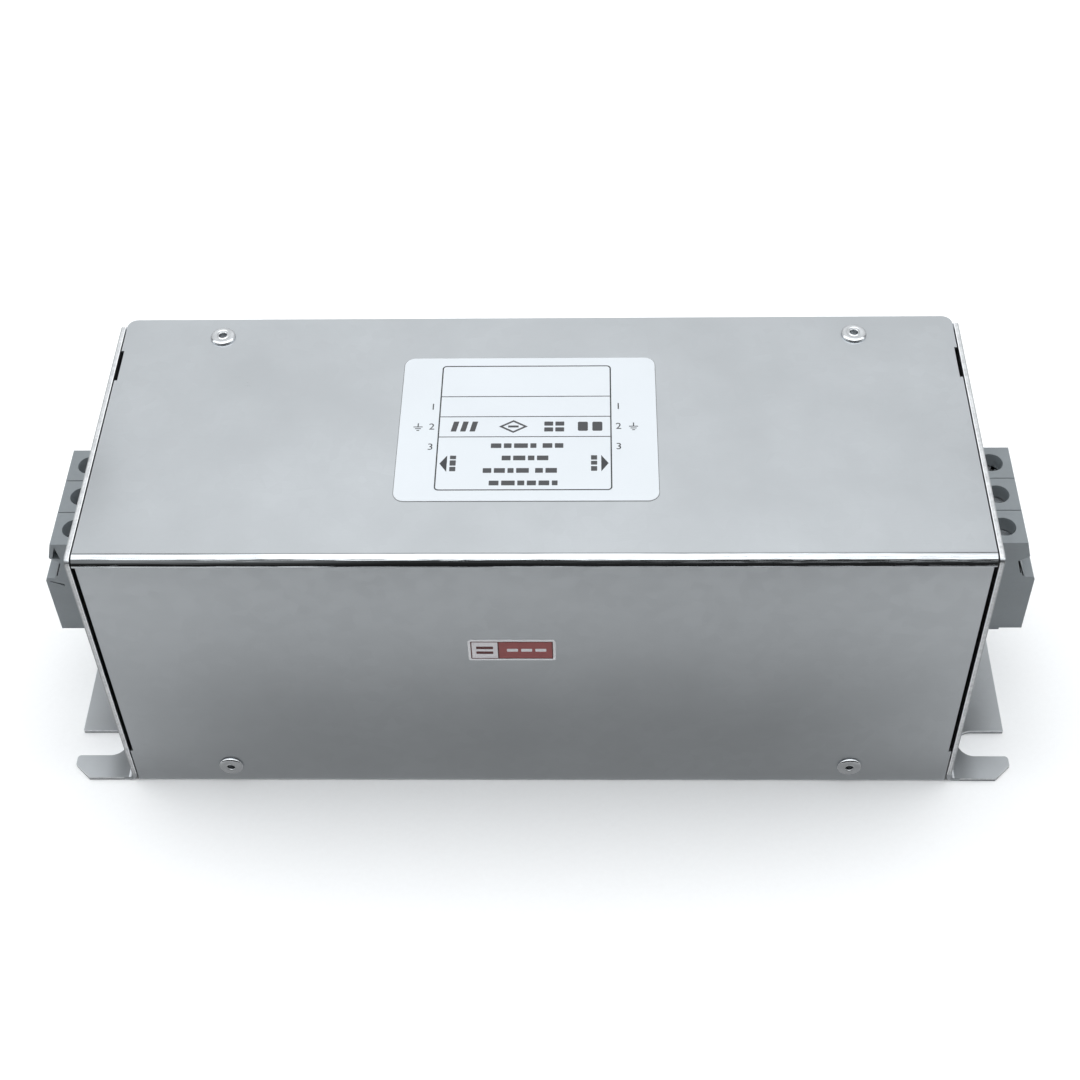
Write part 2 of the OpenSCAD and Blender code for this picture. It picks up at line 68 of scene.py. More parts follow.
class Tree:
    """A material with a Principled shader, and short calls for the nodes in front of it."""

    def __init__(self, name, metallic=0.0):
        self.mat = bpy.data.materials.new(name)
        self.mat.use_nodes = True
        self.nt = self.mat.node_tree
        self.nt.nodes.clear()
        out = self.nt.nodes.new("ShaderNodeOutputMaterial")
        self.bsdf = self.nt.nodes.new("ShaderNodeBsdfPrincipled")
        self.bsdf.inputs["Metallic"].default_value = metallic
        self.nt.links.new(self.bsdf.outputs[0], out.inputs[0])
        self.coord = self.nt.nodes.new("ShaderNodeTexCoord").outputs["Object"]

    def put(self, socket, value):
        if isinstance(value, bpy.types.NodeSocket):
            self.nt.links.new(value, socket)
        else:
            socket.default_value = value

    def math(self, op, a, b=None, c=None):
        n = self.nt.nodes.new("ShaderNodeMath")
        n.operation = op
        for s, v in zip(n.inputs, (a, b, c)):
            if v is not None:
                self.put(s, v)
        return n.outputs[0]

    def parts(self, vec=None):
        n = self.nt.nodes.new("ShaderNodeSeparateXYZ")
        self.put(n.inputs[0], vec or self.coord)
        return n.outputs[0], n.outputs[1], n.outputs[2]

    def vec(self, x, y, z):
        n = self.nt.nodes.new("ShaderNodeCombineXYZ")
        for s, v in zip(n.inputs, (x, y, z)):
            self.put(s, v)
        return n.outputs[0]

    def scaled(self, s, vec=None):
        n = self.nt.nodes.new("ShaderNodeVectorMath")
        n.operation = "MULTIPLY"
        self.put(n.inputs[0], vec or self.coord)
        n.inputs[1].default_value = s
        return n.outputs[0]

    def noise(self, scale, detail=2.0, rough=0.5, vec=None, distortion=0.0):
        n = self.nt.nodes.new("ShaderNodeTexNoise")
        self.put(n.inputs["Vector"], vec or self.coord)
        n.inputs["Scale"].default_value = scale
        n.inputs["Detail"].default_value = detail
        n.inputs["Roughness"].default_value = rough
        n.inputs["Distortion"].default_value = distortion
        return n.outputs[0]

    def cells(self, scale, vec=None, feature="F1", out="Distance"):
        n = self.nt.nodes.new("ShaderNodeTexVoronoi")
        n.feature = feature
        self.put(n.inputs["Vector"], vec or self.coord)
        n.inputs["Scale"].default_value = scale
        return n.outputs[out]

    def ramp(self, value, f0, f1, t0=0.0, t1=1.0, smooth=False):
        n = self.nt.nodes.new("ShaderNodeMapRange")
        if smooth:
            n.interpolation_type = "SMOOTHSTEP"
        for s, v in zip(n.inputs, (value, f0, f1, t0, t1)):
            self.put(s, v)
        return n.outputs[0]

    def mix(self, fac, a, b, mode="MIX"):
        n = self.nt.nodes.new("ShaderNodeMix")
        n.data_type = "RGBA"
        n.blend_type = mode
        self.put(n.inputs[0], fac)
        for s, v in ((n.inputs[6], a), (n.inputs[7], b)):
            self.put(s, v if isinstance(v, bpy.types.NodeSocket) else (*v, 1.0))
        return n.outputs[2]

    def bump(self, height, distance, strength=1.0, normal=None):
        n = self.nt.nodes.new("ShaderNodeBump")
        n.inputs["Strength"].default_value = strength
        n.inputs["Distance"].default_value = distance
        self.put(n.inputs["Height"], height)
        if normal is not None:
            self.put(n.inputs["Normal"], normal)
        return n.outputs[0]

    def normal(self):
        n = self.nt.nodes.new("ShaderNodeNewGeometry")
        return n.outputs["True Normal"]

    def set(self, **values):
        for name, v in values.items():
            s = self.bsdf.inputs[name.replace("_", " ")]
            self.put(s, (*v, 1.0) if isinstance(v, tuple) and len(v) == 3 and s.type == "RGBA" else v)
        return self.mat


def sheet_metal(name, base, edge_mask, bend_mask=None, plates=False):
    """Zinc-plated sheet: faint cloudy tone, a very fine rolling grain along X, and paler sheared edges. Painted
    highlight and shade lines along the cover's bend and the end plates' edges, and painted shade in the flange corners
    and along the flanges' lower edges.
    """
    t = Tree(name, 1.0)
    cloud = t.noise(34, 3, 0.55)
    spangle = t.cells(310, out="Color")
    sx = t.parts(spangle)[0]
    grain = t.noise(1, 3, 0.6, vec=t.scaled((160, 5200, 5200)))
    fine = t.noise(2600, 2, 0.6)
    dark = tuple(c * 0.955 for c in base)
    light = tuple(min(1, c * 1.035) for c in base)
    col = t.mix(t.ramp(cloud, 0.3, 0.7), dark, light)
    tone = t.math("ADD", t.math("MULTIPLY", sx, 0.35), t.math("MULTIPLY", grain, 0.65))
    col = t.mix(t.ramp(tone, 0.25, 0.75, 0.0, 0.5), col, tuple(c * 0.93 for c in base))
    rough = t.math("ADD", t.ramp(cloud, 0.3, 0.7, 0.30, 0.355), t.ramp(grain, 0.3, 0.7, -0.018, 0.018))
    rough = t.math("ADD", rough, t.ramp(sx, 0, 1, -0.012, 0.012))
    height = t.math("ADD", t.math("MULTIPLY", grain, 0.6), t.math("MULTIPLY", fine, 0.4))
    bump = t.bump(height, 0.000012, 0.5)
    if bend_mask is not None:
        bend = bend_mask(t)
        streak = t.noise(1, 3, 0.6, vec=t.scaled((26, 1500, 1500)))
        # painted highlight: the bend's colour is lifted; darker streaks run along it
        col = t.mix(t.math("MULTIPLY", bend, 0.8), col, tuple(min(1, c * 1.16) for c in base))
        col = t.mix(t.math("MULTIPLY", bend, t.ramp(streak, 0.52, 0.62, 0.0, 0.35)), col, tuple(c * 0.62 for c in base))
        rough = t.math("ADD", t.math("MULTIPLY", rough, t.math("SUBTRACT", 1.0, bend)),
                       t.math("MULTIPLY", bend, t.ramp(streak, 0.35, 0.65, 0.06, 0.11)))
        bump = t.bump(t.math("MULTIPLY", streak, bend), 0.0001, 0.9, normal=bump)
        y, z = t.parts()[1:]
        # painted shade: a thin darker line on the top where it runs into the bend
        start = t.math("MULTIPLY", between(t, y, -0.04035, -0.0399), t.math("GREATER_THAN", z, 0.0895))
        col = t.mix(t.math("MULTIPLY", start, 0.55), col, tuple(c * 0.62 for c in base))
    metal = 1.0
    if edge_mask is not None:
        mask = edge_mask(t)
        x, y, z = t.parts()
        shear = t.noise(1, 2, 0.7, vec=t.scaled((900, 1500, 1500)))
        blotch = t.noise(760, 3, 0.7)
        ecol = t.mix(t.ramp(blotch, 0.34, 0.66), (0.54, 0.555, 0.57), (0.74, 0.75, 0.76))
        ecol = t.mix(t.ramp(shear, 0.60, 0.70, 0.0, 0.35), ecol, (0.32, 0.33, 0.34))
        # painted shade: the lower part of the flange edges, next to the floor, is darkened
        flange_edge_shade = t.math("MULTIPLY", t.ramp(z, 0.00062, 0.00045), t.math("GREATER_THAN", t.math("ABSOLUTE", x), 0.1122))
        ecol = t.mix(t.math("MULTIPLY", flange_edge_shade, 0.85), ecol, (0.13, 0.14, 0.145))
        if plates:
            wide = t.math("ABSOLUTE", x)
            # painted highlight: a pale band on the inner side of the end plates' edges
            ecol = t.mix(t.math("LESS_THAN", wide, 0.10902), ecol, (0.90, 0.91, 0.92))
            # painted shade: a dark line near the outer corner of those edges
            outer = t.math("MULTIPLY", t.ramp(wide, 0.10965, 0.10985), t.math("GREATER_THAN", z, 0.003))
            ecol = t.mix(t.math("MULTIPLY", outer, 0.8), ecol, (0.33, 0.34, 0.35))
            # painted shade in the corner where the end plate bends into the flange, darker towards the front
            foot_shade = t.math("MULTIPLY", t.ramp(wide, 0.1124, 0.1185, 1.0, 0.0, True), t.math("LESS_THAN", z, 0.0034))
            foot_shade = t.math("MULTIPLY", foot_shade, t.math("GREATER_THAN", wide, 0.11002))
            foot_shade = t.math("MULTIPLY", foot_shade, t.ramp(y, -0.018, -0.036, 0.0, 1.0, True))
            col = t.mix(t.math("MULTIPLY", foot_shade, 0.55), col, (0.23, 0.24, 0.25))
        col = t.mix(mask, col, ecol)
        rough = t.math("ADD", t.math("MULTIPLY", rough, t.math("SUBTRACT", 1.0, mask)),
                       t.math("MULTIPLY", mask, t.ramp(blotch, 0.35, 0.65, 0.40, 0.56)))
        metal = t.math("SUBTRACT", 1.0, t.math("MULTIPLY", mask, 0.5))
    return t.set(Base_Color=col, Roughness=rough, Normal=bump, Metallic=metal)


def between(t, v, a, b):
    return t.math("MULTIPLY", t.math("GREATER_THAN", v, a), t.math("LESS_THAN", v, b))


def chassis_edges(t):
    """The sheared edges of the end plates and flanges."""
    x, y, z = t.parts()
    nx, ny, nz = t.parts(t.normal())
    ax, anx, anz = (t.math("ABSOLUTE", v) for v in (x, nx, nz))
    plate = t.math("MULTIPLY", t.math("GREATER_THAN", ax, 0.10875), t.math("LESS_THAN", anx, 0.6))
    plate = t.math("MULTIPLY", plate, t.math("GREATER_THAN", z, 0.0028))
    top = t.math("GREATER_THAN", z, 0.0897)
    front = t.math("LESS_THAN", y, -0.0423)
    plate = t.math("MULTIPLY", plate, t.math("MAXIMUM", top, front))
    flange = t.math("MULTIPLY", t.math("GREATER_THAN", ax, 0.1125), t.math("LESS_THAN", z, 0.0013))
    flange = t.math("MULTIPLY", flange, t.math("LESS_THAN", anz, 0.5))
    return t.math("MAXIMUM", plate, flange)


def cover_edges(t):
    """The sheared ends of the cover, its slits and its lower edge."""
    x, y, z = t.parts()
    nx, ny, nz = t.parts(t.normal())
    anx, anz, any_ = (t.math("ABSOLUTE", v) for v in (nx, nz, ny))
    ends = t.math("GREATER_THAN", anx, 0.6)
    low = t.math("MULTIPLY", t.math("LESS_THAN", nz, -0.6), t.math("LESS_THAN", z, 0.001))
    return t.math("MAXIMUM", ends, low)


def cover_bend(t):
    """The long bend between the cover's top and front."""
    x, y, z = t.parts()
    return t.math("MULTIPLY", t.ramp(y, -0.04005, -0.0403), t.ramp(z, 0.08755, 0.0878))


zinc = sheet_metal("zinc_sheet", (0.578, 0.605, 0.628), chassis_edges, plates=True)
zinc_cover = sheet_metal("zinc_sheet_cover", (0.578, 0.605, 0.628), cover_edges, cover_bend)


def plated(name, base, rough, ring=None, grain=1800, metal=1.0):
    """Turned or drawn small metal parts. ring gives the distance from the turning axis."""
    t = Tree(name, metal)
    n = t.noise(grain, 3, 0.6)
    c = t.noise(260, 2, 0.5)
    col = t.mix(t.ramp(c, 0.3, 0.7), tuple(v * 0.86 for v in base), tuple(min(1, v * 1.06) for v in base))
    r = t.ramp(n, 0.3, 0.7, rough * 0.8, rough * 1.25)
    h = n
    if ring is not None:
        d = ring(t)
        wave = t.math("SINE", t.math("MULTIPLY", d, 2 * math.pi / 0.00022))
        jitter = t.noise(1, 2, 0.5, vec=t.vec(t.math("MULTIPLY", d, 5200), 0.0, 0.0))
        h = t.math("ADD", t.math("MULTIPLY", wave, 0.25), t.math("ADD", jitter, t.math("MULTIPLY", n, 0.4)))
    return t.set(Base_Color=col, Roughness=r, Normal=t.bump(h, 0.00001, 0.55))


def screw_ring(t):
    x, y, z = t.parts()
    dx = t.math("SUBTRACT", t.math("ABSOLUTE", x), SCREW_X * MM)
    dy = t.math("SUBTRACT", t.math("MODULO", t.math("ADD", y, 0.1 + PITCH * MM * 0.5 + (PITCH * 10 - 100 - PITCH) * MM + PITCH * MM), PITCH * MM), PITCH * MM * 0.5)
    return t.math("SQRT", t.math("ADD", t.math("MULTIPLY", dx, dx), t.math("MULTIPLY", dy, dy)))


def stud_ring(t):
    x, y, z = t.parts()
    dz = t.math("SUBTRACT", z, 0.024)
    return t.math("SQRT", t.math("ADD", t.math("MULTIPLY", y, y), t.math("MULTIPLY", dz, dz)))


rivet_steel = plated("rivet_steel", (0.74, 0.76, 0.78), 0.15, grain=2600)
dark_steel = plated("dark_steel", (0.24, 0.25, 0.26), 0.42)
screw_steel = plated("screw_steel", (0.86, 0.88, 0.90), 0.22, screw_ring, metal=0.8)
stud_steel = plated("stud_steel", (0.60, 0.62, 0.64), 0.30, stud_ring)
cage_steel = plated("cage_steel", (0.62, 0.55, 0.40), 0.34)
tinned = plated("tinned_copper", (0.66, 0.65, 0.62), 0.30)


def moulded(name, base, rough=0.46, grain=0.000012, spec=0.5, tone=0.05, shade=None):
    """Moulded plastic with a fine spark-eroded skin and faint flow marks."""
    t = Tree(name)
    flow = t.noise(55, 3, 0.55, distortion=0.6)
    pit = t.noise(3300, 2, 0.55)
    speck = t.noise(900, 3, 0.6)
    col = t.mix(t.ramp(flow, 0.3, 0.7), tuple(c * (1 - tone) for c in base), tuple(min(1, c * (1 + tone)) for c in base))
    col = t.mix(t.ramp(speck, 0.42, 0.75, 0.0, 0.16), col, tuple(c * 0.8 for c in base))
    r = t.math("ADD", t.ramp(flow, 0.3, 0.7, rough - 0.04, rough + 0.04), t.ramp(pit, 0.3, 0.7, -0.03, 0.03))
    h = t.math("ADD", t.math("MULTIPLY", pit, 0.7), t.math("MULTIPLY", speck, 0.5))
    t.bsdf.inputs["Specular IOR Level"].default_value = spec
    # painted shade: the masked recesses are darkened to near-black
    if shade is not None:
        col = t.mix(shade(t), col, tuple(c * 0.06 for c in base))
    return t.set(Base_Color=col, Roughness=r, Normal=t.bump(h, grain, 0.6))


def latch_gap_shade(t):
    """Mask of the deep latch pockets and slits in the sides of the poles, where hardly any light gets in; moulded
    paints them near-black as painted shade.
    """
    x, y, z = t.parts()
    u = t.math("MULTIPLY", t.math("SUBTRACT", t.math("ABSOLUTE", x), L * MM), 1000)
    v = t.math("MULTIPLY", z, 1000)
    local = t.math("SUBTRACT", t.math("MODULO", t.math("ADD", y, (PITCH * 9.5) * MM), PITCH * MM), PITCH * MM * 0.5)
    skin = t.math("GREATER_THAN", t.math("ABSOLUTE", local), 5.47 * MM)
    skin = t.math("MULTIPLY", skin, t.math("GREATER_THAN", t.math("ABSOLUTE", t.parts(t.normal())[1]), 0.9))
    found = None
    for pts, side in ((((12.4, 66.0), (11.75, 61.4), (13.75, 61.6)), 1),
                      (((12.1, 59.7), (12.35, 59.7), (14.1, 54.9), (13.85, 54.9)), 1),
                      (((16.3, 52.85), (12.8, 51.6), (12.8, 50.9), (16.3, 52.6)), 1),
                      (((11.9, 60.2), (12.15, 60.2), (13.45, 55.6), (13.2, 55.6)), -1),
                      (((12.3, 60.2), (12.3, 59.5), (14.0, 54.5), (14.25, 54.5)), -1)):
        area = sum(a[0] * b[1] - b[0] * a[1] for a, b in zip(pts, pts[1:] + pts[:1]))
        if area < 0:
            pts = pts[::-1]
        m = t.math("GREATER_THAN", t.math("MULTIPLY", local, side), 2.0 * MM)
        for (ax, az), (bx, bz) in zip(pts, pts[1:] + pts[:1]):
            k = math.hypot(bx - ax, bz - az)
            nx, nz = -(bz - az) / k, (bx - ax) / k
            c = -(nx * ax + nz * az) + 0.06
            inside = t.math("ADD", t.math("MULTIPLY", u, nx), t.math("ADD", t.math("MULTIPLY", v, nz), c))
            m = t.math("MULTIPLY", m, t.math("GREATER_THAN", inside, 0.0))
        found = m if found is None else t.math("MAXIMUM", found, m)
    return t.math("MULTIPLY", found, t.math("SUBTRACT", 1.0, skin))


terminal = moulded("terminal_grey", (0.228, 0.251, 0.266), 0.48, shade=latch_gap_shade)
natural = moulded("natural_plastic", (0.70, 0.68, 0.60), 0.5)
cap_yellow = moulded("capacitor_yellow", (0.80, 0.60, 0.10), 0.38)
cap_blue = moulded("capacitor_blue", (0.05, 0.20, 0.55), 0.30)
resistor = moulded("resistor_tan", (0.62, 0.44, 0.24), 0.42)
core_green = moulded("core_green", (0.03, 0.16, 0.10), 0.35)
board_green = moulded("board_green", (0.02, 0.17, 0.07), 0.33)


def enamel():
    t = Tree("enamelled_copper", 1.0)
    n = t.noise(700, 3, 0.6)
    col = t.mix(t.ramp(n, 0.3, 0.7), (0.52, 0.19, 0.07), (0.72, 0.30, 0.12))
    t.bsdf.inputs["Coat Weight"].default_value = 0.8
    t.bsdf.inputs["Coat Roughness"].default_value = 0.12
    return t.set(Base_Color=col, Roughness=t.ramp(n, 0.3, 0.7, 0.26, 0.4), Normal=t.bump(n, 0.00001, 0.4))


copper = enamel()


def film(name, base, tone=0.015):
    """Printed polyester film: satin, with a faint waviness and tiny fibres of dust."""
    t = Tree(name)
    w = t.noise(45, 2, 0.5)
    f = t.noise(1700, 3, 0.6)
    col = t.mix(t.ramp(w, 0.3, 0.7), tuple(c * (1 - tone) for c in base), tuple(min(1, c * (1 + tone)) for c in base))
    col = t.mix(t.ramp(f, 0.62, 0.8, 0.0, 0.12), col, tuple(c * 0.8 for c in base))
    r = t.ramp(f, 0.3, 0.7, 0.34, 0.46)
    h = t.math("ADD", t.math("MULTIPLY", w, 3.0), t.math("MULTIPLY", f, 0.25))
    return t.set(Base_Color=col, Roughness=r, Normal=t.bump(h, 0.00001, 0.5))


label_white = film("label_white", (0.650, 0.686, 0.720))
badge_white = film("badge_white", (0.65, 0.655, 0.67))
ink = film("label_ink", (0.030, 0.032, 0.036), 0.1)
ink_mid = film("label_ink_mid", (0.055, 0.057, 0.062), 0.1)
# near-black film for the painted shadow along the label's edge
label_shadow_ink = film("label_edge_shadow", (0.16, 0.165, 0.17), 0.1)
badge_red = film("badge_red", (0.270, 0.060, 0.059), 0.04)
badge_line = film("badge_line", (0.10, 0.022, 0.022), 0.08)
badge_field = film("badge_field", (0.62, 0.60, 0.62), 0.02)


# ---------------------------------------------------------------- CAD nodes

def paint(names, material):
    for n in names:
        o = nodes[n]
        o.data.materials.clear()
        o.data.materials.append(material)


ends = [(e, i) for e in ("line", "load") for i in (1, 2, 3)]
paint(["chassis"], zinc)
paint(["cover"], zinc_cover)
paint(["cover_rivets"], rivet_steel)
paint(["rivet_mandrels", "choke_screw", "board_screws"], dark_steel)
paint(["rating_label"], label_white)
paint(["front_badge"], badge_white)
paint([f"terminal_housing_{e}_{i}" for e, i in ends], terminal)
paint([f"clamp_screw_{e}_{i}" for e, i in ends], screw_steel)
paint([f"clamp_cage_{e}_{i}" for e, i in ends], cage_steel)
paint([f"current_bar_{e}_{i}" for e, i in ends] + [f"{e}_lead_{i}" for e, i in ends], tinned)
paint(["earth_studs", "earth_nuts", "earth_washers"], stud_steel)
paint(["choke_core"], core_green)
paint(["winding_1", "winding_2", "winding_3"], copper)
paint(["choke_divider", "choke_seat", "board_spacers", "insulating_liner"], natural)
paint(["board_line", "board_load"], board_green)
paint(["x_capacitors_line", "x_capacitors_load"], cap_yellow)
paint(["y_capacitors_line", "y_capacitors_load"], cap_blue)
paint(["discharge_resistors"], resistor)


def soften(name, width, segments=2, angle=35):
    """Rounds the sharp edges of a node by a small radius."""
    o = nodes[name]
    w = o.modifiers.new("weld", "WELD")
    w.merge_threshold = 1e-6
    b = o.modifiers.new("bevel", "BEVEL")
    b.width = width * MM
    b.segments = segments
    b.limit_method = "ANGLE"
    b.angle_limit = math.radians(angle)
    b.use_clamp_overlap = True
    b.harden_normals = True
    b.miter_outer = "MITER_SHARP"


for e, i in ends:
    soften(f"terminal_housing_{e}_{i}", 0.16)
    soften(f"clamp_screw_{e}_{i}", 0.26, 3)
soften("cover", 0.18)
soften("chassis", 0.12)
soften("rating_label", 0.03, 1)


# ---------------------------------------------------------------- print

class Print:
    """Collects flat shapes in mm and raises them a hair above the face they are printed on."""

    def __init__(self, name, material, place, body="case", slot=None):
        self.bm = bmesh.new()
        self.name, self.material, self.place, self.body, self.slotname = name, material, place, body, slot

    def poly(self, pts, t=0.012):
        low = [self.bm.verts.new(self.place(x, y, 0.002)) for x, y in pts]
        top = [self.bm.verts.new(self.place(x, y, t)) for x, y in pts]
        self.bm.faces.new(top)
        self.bm.faces.new(low[::-1])
        n = len(pts)
        for k in range(n):
            self.bm.faces.new((low[k], low[(k + 1) % n], top[(k + 1) % n], top[k]))

    def rect(self, x0, y0, x1, y1, t=0.012, r=0.0):
        if r <= 0:
            return self.poly([(x0, y0), (x1, y0), (x1, y1), (x0, y1)], t)
        self.poly(rounded_points(x0, y0, x1, y1, r), t)

    def ring(self, outer, inner, t=0.012):
        n = len(outer)
        rows = [[self.bm.verts.new(self.place(x, y, h)) for x, y in pts]
                for pts, h in ((outer, 0.002), (outer, t), (inner, t), (inner, 0.002))]
        for a in range(4):
            p, q = rows[a], rows[(a + 1) % 4]
            for k in range(n):
                self.bm.faces.new((p[k], p[(k + 1) % n], q[(k + 1) % n], q[k]))

    def digits(self, text, x, y, size, t=0.012, align="RIGHT"):
        c = bpy.data.curves.new("digits", "FONT")
        c.body, c.size, c.align_x, c.align_y = text, size, align, "CENTER"
        c.extrude = t / 2
        c.resolution_u = 4
        o = bpy.data.objects.new("digits", c)
        bpy.context.scene.collection.objects.link(o)
        bpy.context.view_layer.update()
        mesh = bpy.data.meshes.new_from_object(o.evaluated_get(bpy.context.evaluated_depsgraph_get()))
        start = len(self.bm.verts)
        self.bm.from_mesh(mesh)
        self.bm.verts.ensure_lookup_table()
        for v in self.bm.verts[start:]:
            v.co = Vector(self.place(x + v.co.x, y + v.co.y, t / 2 + 0.002 + v.co.z))
        bpy.data.objects.remove(o)
        bpy.data.meshes.remove(mesh)
        bpy.data.curves.remove(c)

    def done(self):
        mesh = bpy.data.meshes.new(self.name)
        bmesh.ops.recalc_face_normals(self.bm, faces=self.bm.faces)
        self.bm.to_mesh(mesh)
        self.bm.free()
        mesh.materials.append(self.material)
        o = bpy.data.objects.new(self.name, mesh)
        bpy.context.scene.collection.objects.link(o)
        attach(o, self.body)
        return o


def rounded_points(x0, y0, x1, y1, r, n=8):
    pts = []
    for cx, cy, a0 in ((x1 - r, y0 + r, -90), (x1 - r, y1 - r, 0), (x0 + r, y1 - r, 90), (x0 + r, y0 + r, 180)):
        for k in range(n + 1):
            a = math.radians(a0 + 90 * k / n)
            pts.append((cx + r * math.cos(a), cy + r * math.sin(a)))
    return pts


def on_label(x, y, h):
    return (x * MM, y * MM, (LABEL_Z + h) * MM)


def on_top(x, y, h):
    return (x * MM, y * MM, (H + h) * MM)


def on_badge(x, z, h):
    return (x * MM, (BADGE_Y - h) * MM, z * MM)


# painted shadow: a thin dark line round the plate, standing for the shadow of the label's edge
p = Print("label_edge_shadow", label_shadow_ink, on_top, slot="label_white")
lx, ly, lw, lh = -1.7, 1.7, 32.1, 25.2
p.ring(rounded_points(lx - lw - 0.14, ly - lh - 0.16, lx + lw + 0.14, ly + lh + 0.1, 2.9),
       rounded_points(lx - lw + 0.05, ly - lh + 0.05, lx + lw - 0.05, ly + lh - 0.05, 2.7), 0.05)
p.done()

# ruled frame, arrows and symbols
p = Print("label_print", ink, on_label, slot="label_white")
fx0, fx1, fy0, fy1 = -24.05, 19.15, -20.05, 23.95
lwid = 0.34
p.ring(rounded_points(fx0, fy0, fx1, fy1, 1.1),
       rounded_points(fx0 + lwid, fy0 + lwid, fx1 - lwid, fy1 - lwid, 0.8))
for yy in (12.57, 5.31, -1.8):
    p.rect(fx0 + lwid, yy - 0.13, fx1 - lwid, yy + 0.13, 0.011)
p.poly([(-23.1, -11.0), (-21.3, -13.8), (-21.3, -8.2)])
p.poly([(18.3, -11.0), (16.5, -8.2), (16.5, -13.8)])
for yy, ch in ((8.85, "1"), (1.75, "2"), (-5.3, "3")):
    p.digits(ch, -24.9, yy, 3.1)
    p.digits(ch, 20.1, yy, 3.1, align="LEFT")
for gx in (-29.1, 24.6):
    p.rect(gx - 0.14, 1.9, gx + 0.14, 3.05)
    for k, hw in enumerate((1.15, 0.75, 0.35)):
        p.rect(gx - hw, 1.62 - k * 0.62, gx + hw, 1.9 - k * 0.62)
p.done()

# rows of print as plain bars
p = Print("label_bars", ink_mid, on_label, slot="label_white")


def bars(x0, y0, y1, widths, gap=0.62, r=0.12):
    x = x0
    for w in widths:
        if w > 0:
            p.rect(x, y0, x + w, y1, 0.011, r)
            x += w + gap
        else:
            x -= w


bars(-10.7, -5.7, -4.1, (2.6, 1.9, 3.4, 1.5, -0.9, 2.4, 2.1))
bars(-7.9, -9.95, -8.35, (2.2, 3.0, 1.6, 2.8))
bars(-12.4, -14.2, -12.6, (2.1, 2.7, 1.5, 3.1, -0.9, 1.9, 2.8))
bars(-10.8, -18.4, -16.8, (2.4, 3.3, 1.7, 2.2, 2.6, 1.4))
for x0, ys in ((-20.6, (-13.6, -12.1, -11.7, -9.9, -9.5, -8.3)), (14.0, (-13.6, -12.0, -11.5, -10.2, -9.8, -8.3))):
    for a, b in zip(ys[::2], ys[1::2]):
        p.rect(x0, a, x0 + 1.5, b, 0.011, 0.12)
# four plain marks in the ruled band
for k in range(3):
    x = -20.9 + k * 2.35
    p.poly([(x, 0.1), (x + 1.35, 0.1), (x + 2.05, 3.6), (x + 0.7, 3.6)], 0.011)
d = [(-8.9, 1.8), (-5.3, -0.45), (-1.7, 1.8), (-5.3, 4.05)]
c0 = (-5.3, 1.8)
p.ring(d, [(c0[0] + (x - c0[0]) * 0.72, c0[1] + (y - c0[1]) * 0.72) for x, y in d], 0.011)
p.rect(-6.6, 1.45, -4.0, 2.15, 0.011)
for r0 in (0.0, 2.05):
    for c1 in (2.4, 5.15):
        p.rect(c1, r0, c1 + 2.2, r0 + 1.45, 0.011, 0.15)
for cx in (12.0, 15.6):
    p.rect(cx - 1.25, 0.2, cx + 1.25, 3.4, 0.011, 0.4)
p.done()

# badge: plain fields inside a pale border
bx0, bx1, bz0, bz1 = -5.6 - 10.8, -5.6 + 10.8, 56.6 - 4.0, 56.6 + 4.0
p = Print("badge_line", badge_line, on_badge, slot="label_white")
p.rect(bx0 + 0.62, bz0 + 0.62, bx1 - 0.62, bz1 - 0.62, 0.008, 0.25)
p.done()
p = Print("badge_fields", badge_red, on_badge, slot="label_white")
p.rect(bx0 + 7.65, bz0 + 0.92, bx1 - 0.92, bz1 - 0.92, 0.014, 0.1)
p.done()
p = Print("badge_pale", badge_field, on_badge, slot="label_white")
p.rect(bx0 + 0.92, bz0 + 0.92, bx0 + 7.3, bz1 - 0.92, 0.014, 0.1)
for k, w in enumerate((2.7, 2.7, 2.7)):
    x = bx0 + 9.6 + k * 3.5
    p.rect(x, 56.6 - 0.55, x + w, 56.6 + 0.55, 0.02, 0.2)
p.done()
p = Print("badge_bars", badge_line, on_badge, slot="label_white")
for dz in (-0.95, 0.95):
    p.rect(bx0 + 2.0, 56.6 + dz - 0.5, bx0 + 6.2, 56.6 + dz + 0.5, 0.02, 0.2)
p.done()


# ---------------------------------------------------------------- earth fastenings

def mesh_piece(name, verts, faces, material, body, smooth=None):
    mesh = bpy.data.meshes.new(name)
    mesh.from_pydata(verts, [], faces)
    bm = bmesh.new()
    bm.from_mesh(mesh)
    bmesh.ops.recalc_face_normals(bm, faces=bm.faces)
    bm.to_mesh(mesh)
    bm.free()
    mesh.materials.append(material)
    o = bpy.data.objects.new(name, mesh)
    bpy.context.scene.collection.objects.link(o)
    if smooth is not None:
        mesh.shade_smooth()
        mesh.set_sharp_from_angle(angle=math.radians(smooth))
    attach(o, body)
    return o


def lathe_rows(rows, n, sign, z0=24.0):
    """Rows of (u, radius or function of angle) turned about the stud's line."""
    verts, faces = [], []
    for u, r in rows:
        for k in range(n):
            a = 2 * math.pi * k / n
            rr = r(a) if callable(r) else r
            verts.append((sign * (L + u) * MM, rr * math.cos(a) * MM, (z0 + rr * math.sin(a)) * MM))
    for j in range(len(rows) - 1):
        for k in range(n):
            k2 = (k + 1) % n
            faces.append((j * n + k, j * n + k2, (j + 1) * n + k2, (j + 1) * n + k))
    return verts, faces


